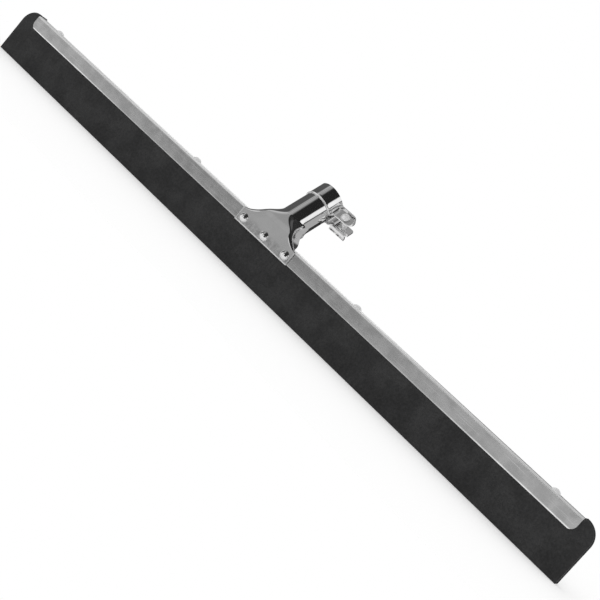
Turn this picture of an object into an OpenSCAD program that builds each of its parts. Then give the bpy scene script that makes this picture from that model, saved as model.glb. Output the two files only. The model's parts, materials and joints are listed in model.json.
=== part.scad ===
// Floor squeegee head: a folded steel frame grips two foam rubber lips,
// and a pressed steel socket with a clamp band takes a round handle.
// X runs along the blade, Y from the front lip to the rear lip, Z up from the floor.
// The origin is the middle of the front lip's wiping edge.

/* [Rubber lips] */
// Length of the lips along the floor
blade_len = 762; // [600:1:900]
// Thickness of each lip
lip_t = 4.2; // [3:0.1:6]
// Height of rubber that shows below the frame
lip_exposed = 37; // [30:0.5:45]
// Length of rubber past each end of the frame
lip_overhang = 16; // [14:0.5:24]
// Radius of the rounded top corner at each end
ear_r = 15; // [8:0.5:20]
// Height of the rubber ends above the top of the frame
ear_rise = 1; // [0:0.1:2]

/* [Frame channel] */
// Height of the folded channel
frame_h = 14.5; // [12:0.5:20]
// Thickness of the channel's sheet
frame_sheet = 1; // [0.8:0.1:1.4]
// Outside radius of the two top folds
frame_fold_r = 2.5; // [1.6:0.1:3]
// Radius of the lower corners at each end
frame_corner_r = 6.5; // [3:0.5:8]
// Radius of the rolled lower edges
hem_r = 0.9; // [0.6:0.05:1]

/* [Core bar] */
// Thickness of the bar that keeps the lips apart
core_t = 3.6; // [3.4:0.1:5]
// Distance from each end of the frame to the end of the bar
core_end_gap = 5; // [2:0.5:12]
// Height of the bar's lower edge above the frame's lower edge
core_lift = 1.5; // [1:0.1:3]

/* [Top rivets] */
// Distance from each end of the frame to the outer rivet
top_rivet_end = 30; // [20:1:60]
// Distance from the middle of the frame to the inner rivets
top_rivet_inner = 110; // [80:1:150]
// Diameter of the rivet shank
top_rivet_d = 2.8; // [2:0.1:3]
// Length of the shank below the channel's web
top_rivet_depth = 7; // [5:0.5:9]
// Diameter of the domed head
top_rivet_head_d = 9; // [7:0.1:10]
// Height of the domed head
top_rivet_head_h = 2.5; // [1.5:0.1:3]

/* [Socket] */
// Diameter of the handle that the socket takes
handle_d = 28; // [25:0.5:30]
// Gap around the handle before the band is tightened
handle_gap = 0.1; // [0.05:0.05:0.2]
// Thickness of the pressed sheet
socket_sheet = 1; // [0.8:0.1:1.4]
// Width of the riveted plate
plate_w = 70; // [66:1:90]
// How far the plate reaches below the frame's lower edge
plate_drop = 0.5; // [0:0.1:1]
// Lean of the tube behind the upright, in degrees
lean = 35; // [25:1:45]
// Height of the bend line above the frame
bend_rise = 7; // [6:0.5:10]
// Distance from the bend line to the mouth of the tube
tube_reach = 69; // [62:1:90]
// Gap between the neck's side walls and the top of the frame
neck_lift = 0.5; // [0.3:0.1:1]
// Distance from the bend line to where the neck is fully round
round_reach = 20; // [18:0.5:24]
// Length over which the neck's corners close in to the round
round_run = 9; // [6:0.5:10]
// Width of the slit that lets the tube close
slit_w = 4; // [2:0.5:6]
// Length of the slit from the mouth
slit_len = 30; // [22:1:36]

/* [Socket rivets] */
// Spacing of the three rivets
socket_rivet_pitch = 28; // [24:0.5:30]
// Height of the rivets above the frame's lower edge
socket_rivet_rise = 5.4; // [5:0.1:7]
// Diameter of the rivet shank
socket_rivet_d = 4.8; // [4:0.1:5]
// Diameter of the domed head
socket_rivet_head_d = 9.5; // [8:0.1:10]
// Height of the domed head
socket_rivet_head_h = 3; // [2:0.1:3.5]
// Diameter of the closed end behind the frame
socket_rivet_tail_d = 8; // [7:0.1:9]
// Height of the closed end behind the frame
socket_rivet_tail_h = 2; // [1.5:0.1:3]
// Diameter of the washer under the closed end
rivet_washer_d = 11; // [10:0.5:11.5]
// Thickness of the washer under the closed end
rivet_washer_t = 1; // [0.6:0.1:1.5]

/* [Clamp band] */
// Width of the band along the tube
band_w = 18; // [16:0.5:20]
// Thickness of the band's sheet
band_sheet = 0.7; // [0.5:0.1:1]
// Distance from the band to the mouth of the tube
band_inset = 0.3; // [0:0.1:2]
// Gap between the two lugs
lug_gap = 12; // [10:0.5:14]
// How far the middle of the gap lies behind the tube's axis
lug_gap_shift = 3; // [0:0.5:4]
// Thickness of each folded lug
lug_t = 1.4; // [1:0.1:2]
// Width of the front lug along the tube
front_lug_w = 11.4; // [11:0.1:13]
// Distance from the bolt to the front lug's round end
front_lug_end = 11; // [8:0.5:12]
// Height of the rim that is turned up round the front lug
rim_h = 4; // [2:0.1:5]
// Thickness of that rim
rim_t = 0.7; // [0.5:0.1:0.9]
// Width of the rear lug along the tube
rear_lug_w = 10.4; // [10:0.1:12]
// Distance from the bolt to the rear lug's square end
rear_lug_end = 9; // [7:0.5:10]
// Radius of the corners of that end
rear_corner_r = 2; // [1:0.1:3]
// Distance from the band's lower edge to the rear lug's
rear_lug_rise = 2.8; // [0.5:0.1:4]
// Depth of the turned edge that stops the nut from turning
nut_guide_depth = 8; // [7.5:0.5:12]

/* [Clamp bolt] */
// Diameter of the bolt
bolt_d = 5; // [4:0.1:5.5]
// Distance from the tube's axis to the bolt
bolt_offset = 28.5; // [26:0.5:32]
// Diameter of the bolt's head
bolt_head_d = 8.6; // [8:0.1:9.5]
// Height of the bolt's head
bolt_head_h = 3; // [2.4:0.1:3.5]
// Width of the screwdriver slot
bolt_slot_w = 1.2; // [0.8:0.1:1.6]
// Depth of the screwdriver slot
bolt_slot_depth = 1.3; // [0.8:0.1:1.5]
// Width of the square nut across its flats
nut_w = 8; // [7:0.1:8.2]
// Height of the nut
nut_h = 4; // [3:0.1:4.5]
// How far the nut can back off along the bolt
nut_travel = 4; // [3:0.1:4.5]
// Length of bolt past the nut when it is backed off
bolt_spare = 1; // [0.5:0.1:3]
// Diameter of the washers on the bolt
washer_d = 9; // [8.6:0.1:9.4]
// Thickness of the washers on the bolt
washer_t = 1; // [0.6:0.1:1.2]

/* [Clearances] */
// Radial gap between a rivet and its hole
rivet_gap = 0.05; // [0.02:0.01:0.1]
// Radial gap between the bolt and the nut's thread
thread_gap = 0.05; // [0.02:0.01:0.1]
// Radial gap between the bolt and the holes it passes through
hole_gap = 0.25; // [0.1:0.05:0.4]
// Gap between faces that turn or slide on each other
face_gap = 0.2; // [0.1:0.05:0.3]
// Gap between the band and the tube
band_gap = 0.05; // [0.02:0.01:0.1]
// Gap between the rubber ends and the ends of the frame
end_gap = 0.3; // [0.1:0.1:0.6]

/* [Hidden] */

$fn = 64;
// Cutting tools reach this far past the faces that they cut
cut = 1;

// Frame and lips, across the blade
frame_len = blade_len - 2 * lip_overhang;
cavity_front = -lip_t / 2;
core_front = cavity_front + lip_t;
rear_lip_front = core_front + core_t;
cavity_back = rear_lip_front + lip_t;
face_front = cavity_front - frame_sheet;
face_back = cavity_back + frame_sheet;
frame_t = face_back - face_front;
core_mid = core_front + core_t / 2;

// Frame and lips, upwards
frame_bottom = lip_exposed;
frame_top = frame_bottom + frame_h;
web_under = frame_top - frame_sheet;
ear_top = frame_top + ear_rise;
rivet_z = frame_bottom + socket_rivet_rise;

// Rivets along the blade
top_rivet_outer = frame_len / 2 - top_rivet_end;
top_rivet_xs = [-top_rivet_outer, -top_rivet_inner, top_rivet_inner, top_rivet_outer];
socket_rivet_xs = [-socket_rivet_pitch, 0, socket_rivet_pitch];

// Socket: the plate stands on the front face and the tube leans back from the bend line
bore_r = handle_d / 2 + handle_gap;
tube_r = bore_r + socket_sheet;
plate_face = face_front - socket_sheet;
plate_bottom = frame_bottom - plate_drop;
bend_z = frame_top + bend_rise;

// Neck: in front view its sides are concave arcs from the plate's width to the tube's
neck_foot = frame_top + neck_lift;
flare_r = plate_w / 2 - tube_r;
flare_z = neck_foot + socket_sheet + flare_r;
// The corners close in along a cone that starts at the corner of the neck's section
cone_foot = round_reach - round_run;
cone_foot_half = flare_half(bend_z + cone_foot * cos(lean));
cone_foot_r = norm([cone_foot_half, tube_r]);
cone_sheet = socket_sheet * norm([cone_foot_r - tube_r, round_run]) / round_run;
// Length of tube that runs down into the neck
tube_lap = 0.5;
// Boxes that stand for unbounded space are this large
far = 100;

// Clamp band and bolt, placed in the tube's leaning frame
band_in_r = tube_r + band_gap;
band_out_r = band_in_r + band_sheet;
band_top = tube_reach - band_inset;
band_bottom = band_top - band_w;
lug_rear_in = tube_r + lug_gap_shift + lug_gap / 2;
lug_rear_out = lug_rear_in + lug_t;
lug_front_in = lug_rear_in - lug_gap;
lug_front_out = lug_front_in - lug_t;
bolt_r = bolt_d / 2;
rear_lug_low = band_bottom + rear_lug_rise;
bolt_z = rear_lug_low + lug_t + face_gap + max(nut_w, washer_d) / 2;
front_lug_tip = bolt_offset + front_lug_end;
rear_lug_tip = bolt_offset + rear_lug_end;
head_seat = lug_front_out - face_gap - washer_t;
nut_seat = lug_rear_out + face_gap + washer_t;
bolt_tail = nut_seat + nut_h + nut_travel + bolt_spare;

zinc = "silver";
bright = "gainsboro";
rubber = "#2b2b2b";

// A domed head of a given width and height, standing on the plane z = 0
module dome(d, h) {
    sphere_r = (d * d / 4 + h * h) / (2 * h);
    intersection() {
        translate([0, 0, h - sphere_r])
            sphere(r = sphere_r, $fn = 96);
        cylinder(d = d, h = h);
    }
}

// Children drawn with Z along the blade's thickness, pointing to the back
module facing_back(x, z) {
    translate([x, 0, z])
        rotate([-90, 0, 0])
            children();
}

// Children drawn in the tube's frame: Z up the front of the tube, Y to its back
module leaning() {
    translate([0, plate_face, bend_z])
        rotate([-lean, 0, 0])
            children();
}

// Children drawn with Z along the clamp bolt, pointing to the back of the tube
module along_bolt(y) {
    leaning()
        translate([bolt_offset, y, bolt_z])
            rotate([-90, 0, 0])
                children();
}

// Outline of the folded channel, with its lower edges rolled inwards
module channel_outline() {
    difference() {
        union() {
            translate([face_front, frame_bottom + hem_r])
                square([frame_t, frame_h - hem_r - frame_fold_r]);
            translate([face_front + frame_fold_r, frame_top - frame_fold_r])
                square([frame_t - 2 * frame_fold_r, frame_fold_r]);
            for (y = [face_front + frame_fold_r, face_back - frame_fold_r])
                translate([y, frame_top - frame_fold_r])
                    circle(r = frame_fold_r);
        }
        channel_cavity();
    }
    for (y = [face_front + hem_r, face_back - hem_r])
        translate([y, frame_bottom + hem_r])
            circle(r = hem_r);
}

// Space inside the channel, with the inside of its two folds
module channel_cavity() {
    fold_in_r = frame_fold_r - frame_sheet;
    translate([cavity_front, frame_bottom - cut])
        square([cavity_back - cavity_front, frame_h - frame_fold_r + cut]);
    translate([cavity_front + fold_in_r, frame_top - frame_fold_r - cut])
        square([cavity_back - cavity_front - 2 * fold_in_r, fold_in_r + cut]);
    for (y = [cavity_front + fold_in_r, cavity_back - fold_in_r])
        translate([y, frame_top - frame_fold_r])
            circle(r = fold_in_r);
}

// What is cut away to round the lower corner at the +X end of the frame
module frame_corner() {
    translate([frame_len / 2 - frame_corner_r, 0, frame_bottom + frame_corner_r])
        rotate([-90, 0, 0])
            difference() {
                translate([0, 0, face_front - cut])
                    cube([frame_corner_r + cut, frame_corner_r + cut, frame_t + 2 * cut]);
                translate([0, 0, face_front - 2 * cut])
                    cylinder(r = frame_corner_r, h = frame_t + 4 * cut);
            }
}

module frame_channel() {
    color(zinc)
        difference() {
            rotate([90, 0, 90])
                linear_extrude(height = frame_len, center = true)
                    channel_outline();
            frame_corner();
            mirror([1, 0, 0])
                frame_corner();
            for (x = socket_rivet_xs)
                facing_back(x, rivet_z)
                    translate([0, 0, face_front - cut])
                        cylinder(d = socket_rivet_d + 2 * rivet_gap, h = frame_t + 2 * cut);
            for (x = top_rivet_xs)
                translate([x, core_mid, web_under - cut])
                    cylinder(d = top_rivet_d + 2 * rivet_gap, h = frame_sheet + 2 * cut);
        }
}

// Front view of a lip: it tucks under the web and stands up past the frame's ends
module lip_outline() {
    half = blade_len / 2;
    seat_half = frame_len / 2 + end_gap;
    seat_top = frame_top - frame_fold_r;
    difference() {
        union() {
            translate([-half, 0])
                square([blade_len, ear_top - ear_r]);
            translate([ear_r - half, 0])
                square([blade_len - 2 * ear_r, ear_top]);
            for (side = [-1, 1])
                translate([side * (half - ear_r), ear_top - ear_r])
                    circle(r = ear_r);
        }
        translate([-seat_half, seat_top])
            square([2 * seat_half, frame_h]);
    }
}

// One lip between two planes across the blade, grooved where the frame's edge bites
module lip(front, hem_y) {
    color(rubber)
        difference() {
            translate([0, front + lip_t, 0])
                rotate([90, 0, 0])
                    linear_extrude(height = lip_t)
                        lip_outline();
            translate([-frame_len / 2 - end_gap, hem_y, frame_bottom + hem_r])
                rotate([0, 90, 0])
                    cylinder(r = hem_r + rivet_gap, h = frame_len + 2 * end_gap);
            for (x = socket_rivet_xs)
                facing_back(x, rivet_z)
                    translate([0, 0, front - cut])
                        cylinder(d = socket_rivet_d + 2 * rivet_gap, h = lip_t + 2 * cut);
        }
}

module front_lip() {
    lip(cavity_front, face_front + hem_r);
}

module rear_lip() {
    lip(rear_lip_front, face_back - hem_r);
}

module core_bar() {
    bar_len = frame_len - 2 * core_end_gap;
    bar_bottom = frame_bottom + core_lift;
    color("dimgray")
        difference() {
            translate([-bar_len / 2, core_front, bar_bottom])
                cube([bar_len, core_t, web_under - bar_bottom]);
            for (x = socket_rivet_xs)
                facing_back(x, rivet_z)
                    translate([0, 0, core_front - cut])
                        cylinder(d = socket_rivet_d + 2 * rivet_gap, h = core_t + 2 * cut);
            for (x = top_rivet_xs)
                translate([x, core_mid, web_under - top_rivet_depth - end_gap])
                    cylinder(d = top_rivet_d + 2 * rivet_gap, h = top_rivet_depth + end_gap + cut);
        }
}

module top_rivets() {
    color(bright)
        for (x = top_rivet_xs)
            translate([x, core_mid, 0]) {
                translate([0, 0, frame_top])
                    dome(top_rivet_head_d, top_rivet_head_h);
                translate([0, 0, web_under - top_rivet_depth])
                    cylinder(d = top_rivet_d, h = top_rivet_depth + frame_sheet);
            }
}

// Half the neck's width in front view at a height
function flare_half(z) =
    z >= flare_z ? tube_r : plate_w / 2 - sqrt(flare_r * flare_r - (flare_z - z) * (flare_z - z));

// Front view of the neck, drawn in from its outer skin by a distance
module neck_outline(inset) {
    difference() {
        translate([-plate_w / 2, neck_foot])
            square([plate_w, flare_z - neck_foot]);
        for (side = [-1, 1])
            translate([side * plate_w / 2, flare_z])
                circle(r = flare_r + inset);
    }
    translate([inset - tube_r, flare_z - cut])
        square([2 * (tube_r - inset), far]);
}

// The neck as a solid block, drawn in from its outer skin and run back to a depth
module neck_block(inset, depth, cone_inset) {
    intersection() {
        translate([0, plate_face + inset + far, 0])
            rotate([90, 0, 0])
                linear_extrude(height = far)
                    neck_outline(inset);
        leaning()
            translate([-far, inset, -far])
                cube([2 * far, depth - inset, far + round_reach]);
        leaning() {
            translate([0, tube_r, cone_foot])
                cylinder(r1 = cone_foot_r - cone_inset, r2 = tube_r - cone_inset, h = round_run);
            translate([-far, -far, -far])
                cube([2 * far, 2 * far, far + cone_foot]);
        }
    }
}

// What is cut through the socket: the bore, the slit and the rivet holes
module socket_cuts() {
    leaning()
        translate([0, tube_r, 0]) {
            translate([0, 0, round_reach - tube_lap - cut])
                cylinder(r = bore_r, h = tube_reach - round_reach + tube_lap + 2 * cut);
            translate([0, lug_gap_shift - slit_w / 2, tube_reach - slit_len])
                cube([tube_r + cut, slit_w, slit_len + cut]);
        }
    for (x = socket_rivet_xs)
        facing_back(x, rivet_z)
            translate([0, 0, plate_face - cut])
                cylinder(d = socket_rivet_d + 2 * rivet_gap, h = socket_sheet + 2 * cut);
}

module socket() {
    color(bright)
        difference() {
            union() {
                translate([-plate_w / 2, plate_face, plate_bottom])
                    cube([plate_w, socket_sheet, neck_foot + socket_sheet - plate_bottom]);
                neck_block(0, tube_r, 0);
                leaning()
                    translate([0, tube_r, round_reach - tube_lap])
                        cylinder(r = tube_r, h = tube_reach - round_reach + tube_lap);
            }
            neck_block(socket_sheet, tube_r + cut, cone_sheet);
            socket_cuts();
        }
}

module socket_rivets() {
    tail_seat = face_back + rivet_washer_t;
    color(bright)
        for (x = socket_rivet_xs)
            facing_back(x, rivet_z) {
                translate([0, 0, plate_face])
                    mirror([0, 0, 1])
                        dome(socket_rivet_head_d, socket_rivet_head_h);
                translate([0, 0, plate_face])
                    cylinder(d = socket_rivet_d, h = tail_seat - plate_face);
                translate([0, 0, tail_seat])
                    dome(socket_rivet_tail_d, socket_rivet_tail_h);
            }
}

// A flat ring standing on z = 0
module washer(d, hole, t) {
    difference() {
        cylinder(d = d, h = t);
        translate([0, 0, -cut])
            cylinder(d = hole, h = t + 2 * cut);
    }
}

module rivet_washers() {
    color(zinc)
        for (x = socket_rivet_xs)
            facing_back(x, rivet_z)
                translate([0, 0, face_back])
                    washer(rivet_washer_d, socket_rivet_d + 2 * rivet_gap, rivet_washer_t);
}

// Children drawn flat become a slab between two planes behind the tube's front
module lug_slab(near, far_side) {
    translate([0, far_side, 0])
        rotate([90, 0, 0])
            linear_extrude(height = far_side - near)
                children();
}

// Outline of the front lug, drawn in from its edge
module front_lug_outline(inset) {
    end_r = front_lug_w / 2 - inset;
    end_x = front_lug_tip - front_lug_w / 2;
    translate([0, bolt_z - end_r])
        square([end_x, 2 * end_r]);
    translate([end_x, bolt_z])
        circle(r = end_r);
}

// The front lug is a shallow pan that takes the bolt's head
module front_lug() {
    rim_edge = lug_front_out - rim_h;
    difference() {
        lug_slab(rim_edge, lug_front_in)
            front_lug_outline(0);
        lug_slab(rim_edge - cut, lug_front_out)
            front_lug_outline(rim_t);
    }
}

// The rear lug has a square end, and its lower edge is turned back beside the nut
module rear_lug() {
    guide_end = rear_lug_tip - rear_corner_r;
    corner_low = rear_lug_low + rear_corner_r;
    corner_high = rear_lug_low + rear_lug_w - rear_corner_r;
    lug_slab(lug_rear_in, lug_rear_out) {
        translate([0, rear_lug_low])
            square([guide_end, rear_lug_w]);
        translate([0, corner_low])
            square([rear_lug_tip, corner_high - corner_low]);
        for (along = [corner_low, corner_high])
            translate([guide_end, along])
                circle(r = rear_corner_r);
    }
    translate([band_out_r, lug_rear_in, rear_lug_low])
        cube([guide_end - band_out_r, nut_guide_depth, lug_t]);
}

module clamp_band() {
    color(bright)
        leaning()
            difference() {
                union() {
                    difference() {
                        translate([0, tube_r, band_bottom])
                            cylinder(r = band_out_r, h = band_w);
                        translate([0, lug_front_in, band_bottom - cut])
                            cube([band_out_r + cut, lug_gap, band_w + 2 * cut]);
                    }
                    front_lug();
                    rear_lug();
                }
                translate([0, tube_r, band_bottom - cut])
                    cylinder(r = band_in_r, h = band_w + 2 * cut);
                translate([bolt_offset, lug_front_out - cut, bolt_z])
                    rotate([-90, 0, 0])
                        cylinder(r = bolt_r + hole_gap, h = lug_rear_out - lug_front_out + 2 * cut);
            }
}

module clamp_bolt() {
    color(bright) {
        along_bolt(head_seat)
            difference() {
                union() {
                    mirror([0, 0, 1])
                        dome(bolt_head_d, bolt_head_h);
                    cylinder(r = bolt_r, h = bolt_tail - head_seat);
                }
                translate([-bolt_head_d / 2, -bolt_slot_w / 2, -bolt_head_h - cut])
                    cube([bolt_head_d, bolt_slot_w, bolt_slot_depth + cut]);
            }
    }
}

module bolt_washer() {
    color(zinc)
        along_bolt(head_seat)
            washer(washer_d, bolt_d + 2 * thread_gap, washer_t);
}

module clamp_nut() {
    color(zinc)
        along_bolt(nut_seat)
            difference() {
                translate([-nut_w / 2, -nut_w / 2, 0])
                    cube([nut_w, nut_w, nut_h]);
                translate([0, 0, -cut])
                    cylinder(r = bolt_r + thread_gap, h = nut_h + 2 * cut);
            }
}

module nut_washer() {
    color(zinc)
        along_bolt(nut_seat - washer_t)
            washer(washer_d, bolt_d + 2 * thread_gap, washer_t);
}

frame_channel();
front_lip();
rear_lip();
core_bar();
top_rivets();
socket();
socket_rivets();
rivet_washers();
clamp_band();
clamp_bolt();
bolt_washer();
clamp_nut();
nut_washer();
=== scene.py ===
import json
import math

import bmesh
import bpy
from mathutils import Matrix, Vector, noise


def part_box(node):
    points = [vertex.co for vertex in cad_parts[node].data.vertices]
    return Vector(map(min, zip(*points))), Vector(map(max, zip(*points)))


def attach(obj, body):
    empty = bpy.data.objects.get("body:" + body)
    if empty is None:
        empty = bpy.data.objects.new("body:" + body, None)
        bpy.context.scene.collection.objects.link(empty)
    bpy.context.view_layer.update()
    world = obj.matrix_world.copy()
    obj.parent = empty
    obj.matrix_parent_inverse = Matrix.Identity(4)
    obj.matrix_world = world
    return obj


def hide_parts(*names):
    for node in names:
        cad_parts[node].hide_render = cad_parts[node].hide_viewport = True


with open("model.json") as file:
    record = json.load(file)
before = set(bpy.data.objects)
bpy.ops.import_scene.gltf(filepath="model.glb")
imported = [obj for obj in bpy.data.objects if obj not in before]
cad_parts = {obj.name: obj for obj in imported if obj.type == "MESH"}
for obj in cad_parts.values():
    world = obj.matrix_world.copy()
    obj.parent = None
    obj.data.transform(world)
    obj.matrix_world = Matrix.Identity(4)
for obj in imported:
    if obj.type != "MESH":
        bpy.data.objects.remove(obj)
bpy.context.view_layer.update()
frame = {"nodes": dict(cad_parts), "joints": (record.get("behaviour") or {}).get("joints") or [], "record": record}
nodes = frame["nodes"]
record = frame["record"]

# All lengths in this script are metres, so a size in millimetres is written as 12 * MM.
MM = 0.001

# The photo's frame and the camera that was fitted to it.
PHOTO_PIXELS = 600
FOCAL_PIXELS = 1150
SENSOR_WIDTH = 36.0
CAMERA_PLACE = Vector((489.8, -896.7, 119.9)) * MM
CAMERA_RIGHT = Vector((0.65659, 0.38065, 0.65114))
CAMERA_AHEAD = Vector((-0.42528, 0.89983, -0.09720))

# Sheet and rubber sizes that the frame's boxes do not give.
SOCKET_SHEET = 1.0 * MM
SOCKET_LIFT = 0.5 * MM
BEND_R = 10.0 * MM
CURL_R, CURL_TURN = 4.0 * MM, 55.0
ROLL_R = 2.8 * MM
CORNER_DROP = 2.6 * MM
REAR_RIM = 19.5 * MM
REAR_FILLET = 6.0 * MM
REAR_FLARE = 14.0 * MM
SLIT_LENGTH = 30.0 * MM
SLIT_NEAR, SLIT_FAR = 1.0 * MM, 5.0 * MM
STRAP_T = 0.7 * MM
LUG_T = 1.4 * MM
LUG_FOLD_R = 1.9 * MM
RIM_FOLD = 1.4 * MM
RIM_H = 4.4 * MM
LOW_RIM_H = 1.2 * MM
RIM_T = 0.85 * MM
FRONT_FLOOR_HALF = 4.3 * MM
REAR_CORNER_R = 2.0 * MM
REAR_LUG_W = 10.4 * MM
REAR_LUG_END = 9.0 * MM
GUIDE_LIFT = 1.9 * MM
GUIDE_DEPTH = 4.6 * MM
GUIDE_FOLD_R = 1.2 * MM
GUIDE_END = 2.2 * MM
LIP_LENGTH, LIP_TURN = 1.3 * MM, math.radians(40.0)
FACE_GAP = 0.2 * MM
BAND_GAP = 0.05 * MM
BEAD_RISE = 0.5 * MM
BEAD_W = 1.6 * MM
BOLT_HEAD_H = 3.0 * MM
BOLT_R = 2.5 * MM
SLOT_HALF, SLOT_DEEP = 0.6 * MM, 1.3 * MM
THREAD_PITCH, THREAD_DEEP = 0.8 * MM, 0.3 * MM
THREAD_LEAD = 4.0 * MM
LIP_EAR_R = 15.0 * MM
LIP_EDGE_R = 0.5 * MM
LIP_SEAT = 2.5 * MM
LIP_SWAY = 0.25 * MM

# The tube's own frame: its lean, the middle of its mouth and the line where the neck bends back.
mounts = {mount["name"]: mount for mount in record["mounts"]}
handle_mount = mounts["handle_socket"]
socket_low, socket_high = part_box("socket")
frame_low, frame_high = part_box("frame_channel")
tube_up = Vector(handle_mount["axis"])
tube_back = Vector((0.0, tube_up.z, -tube_up.y))
LEAN = math.asin(tube_up.y)
TUBE_R = handle_mount["dims"]["r_mm"] * MM + SOCKET_SHEET
mouth = Vector(handle_mount["pos_m"])
plate_face = socket_low.y
plate_half = socket_high.x
TUBE_REACH = (mouth.y - TUBE_R * tube_back.y - plate_face) / tube_up.y
bend = mouth - TUBE_R * tube_back - TUBE_REACH * tube_up
flare_r = plate_half - TUBE_R
flare_z = frame_high.z + SOCKET_LIFT + SOCKET_SHEET + flare_r
joints = {joint["name"]: joint for joint in frame["joints"]}


def on_tube(x, back, along):
    """A point in the tube's frame: across, behind the tube's front line, and up from the bend."""
    return bend + Vector((x, 0, 0)) + back * tube_back + along * tube_up


def tube_place(point):
    """How far behind the tube's front line a point lies, and how far up from the bend."""
    return (point - bend).dot(tube_back), (point - bend).dot(tube_up)


def make_camera():
    """A camera at the photo's viewing angle, rolled as the photo is."""
    camera = bpy.data.cameras.new("photo_camera")
    camera.sensor_width = SENSOR_WIDTH
    camera.lens = SENSOR_WIDTH * FOCAL_PIXELS / PHOTO_PIXELS
    holder = bpy.data.objects.new("photo_camera", camera)
    bpy.context.scene.collection.objects.link(holder)
    ahead = CAMERA_AHEAD.normalized()
    up = CAMERA_RIGHT.cross(ahead).normalized()
    right = ahead.cross(up)
    turn = Matrix((right, up, -ahead)).transposed()
    holder.matrix_world = Matrix.Translation(CAMERA_PLACE) @ turn.to_4x4()
    bpy.context.scene.camera = holder


# Node helpers

def link(tree, out_node, out_name, in_node, in_name):
    """Joins one named socket to another."""
    tree.links.new(out_node.outputs[out_name], in_node.inputs[in_name])


def add(tree, kind, **settings):
    """A new node with its settings."""
    node = tree.nodes.new(kind)
    for name, value in settings.items():
        setattr(node, name, value)
    return node


def maths(tree, operation, first, second=0.0):
    """A math node; each term is a number or a (node, output) pair."""
    node = add(tree, "ShaderNodeMath", operation=operation)
    for place, term in enumerate((first, second)):
        if isinstance(term, tuple):
            tree.links.new(term[0].outputs[term[1]], node.inputs[place])
        else:
            node.inputs[place].default_value = term
    return node


def spread(tree, source, low, high, to_low=0.0, to_high=1.0, smooth=True):
    """Maps one range of a (node, output) value to another."""
    node = add(tree, "ShaderNodeMapRange", interpolation_type="SMOOTHSTEP" if smooth else "LINEAR")
    node.inputs["From Min"].default_value = low
    node.inputs["From Max"].default_value = high
    node.inputs["To Min"].default_value = to_low
    node.inputs["To Max"].default_value = to_high
    tree.links.new(source[0].outputs[source[1]], node.inputs["Value"])
    return node


def mix_colours(tree, mask, first, second):
    """Mixes two colours, or (node, output) pairs, by a (node, output) mask."""
    node = add(tree, "ShaderNodeMix", data_type="RGBA")
    tree.links.new(mask[0].outputs[mask[1]], node.inputs[0])
    for place, colour in ((6, first), (7, second)):
        if isinstance(colour[0], bpy.types.Node):
            tree.links.new(colour[0].outputs[colour[1]], node.inputs[place])
        else:
            node.inputs[place].default_value = (*colour, 1.0)
    return node


def grey(value):
    return (value, value, value)


def new_material(name):
    """A material with a Principled shader, and its node tree."""
    material = bpy.data.materials.new(name)
    material.use_nodes = True
    return material, material.node_tree, material.node_tree.nodes["Principled BSDF"]


def new_effect(name, inputs, outputs):
    """A shader node group with named number inputs and outputs."""
    tree = bpy.data.node_groups.new(name, "ShaderNodeTree")
    for label, default in inputs:
        socket = tree.interface.new_socket(label, in_out="INPUT", socket_type="NodeSocketFloat")
        socket.default_value = default
    for label in outputs:
        tree.interface.new_socket(label, in_out="OUTPUT", socket_type="NodeSocketFloat")
    return tree, tree.nodes.new("NodeGroupInput"), tree.nodes.new("NodeGroupOutput")


def place_effect(tree, effect, **values):
    """A node group placed in a material with its own values."""
    node = add(tree, "ShaderNodeGroup", node_tree=effect)
    for label, value in values.items():
        node.inputs[label.replace("_", " ")].default_value = value
    return node


# Effects shared by the finishes

def make_sheet_grain():
    """Fine lines along the blade, as cold-rolled sheet has."""
    tree, inside, outside = new_effect("sheet_grain", [("Fineness", 900.0), ("Length", 18.0)], ["Grain"])
    coords = add(tree, "ShaderNodeTexCoord")
    split = add(tree, "ShaderNodeSeparateXYZ")
    link(tree, coords, "Object", split, "Vector")
    run = maths(tree, "MULTIPLY", (split, "X"), (inside, "Length"))
    deep = maths(tree, "MULTIPLY", (split, "Y"), (inside, "Fineness"))
    high = maths(tree, "MULTIPLY", (split, "Z"), (inside, "Fineness"))
    lines = add(tree, "ShaderNodeCombineXYZ")
    link(tree, run, "Value", lines, "X")
    link(tree, deep, "Value", lines, "Y")
    link(tree, high, "Value", lines, "Z")
    streaks = add(tree, "ShaderNodeTexNoise")
    streaks.inputs["Scale"].default_value = 1.0
    streaks.inputs["Detail"].default_value = 3.0
    link(tree, lines, "Vector", streaks, "Vector")
    even = spread(tree, (streaks, "Fac"), 0.28, 0.72)
    link(tree, even, "Result", outside, "Grain")
    return tree


def make_mottle():
    """Soft uneven patches, as plating, bloom and wear leave them."""
    tree, inside, outside = new_effect("mottle", [("Scale", 60.0), ("Contrast", 0.2)], ["Patch"])
    coords = add(tree, "ShaderNodeTexCoord")
    patches = add(tree, "ShaderNodeTexNoise")
    patches.inputs["Detail"].default_value = 6.0
    patches.inputs["Roughness"].default_value = 0.6
    link(tree, coords, "Object", patches, "Vector")
    link(tree, inside, "Scale", patches, "Scale")
    shift = maths(tree, "SUBTRACT", (patches, "Fac"), 0.5)
    wide = maths(tree, "DIVIDE", (shift, "Value"), (inside, "Contrast"))
    even = spread(tree, (wide, "Value"), -0.5, 0.5)
    link(tree, even, "Result", outside, "Patch")
    return tree


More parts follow.
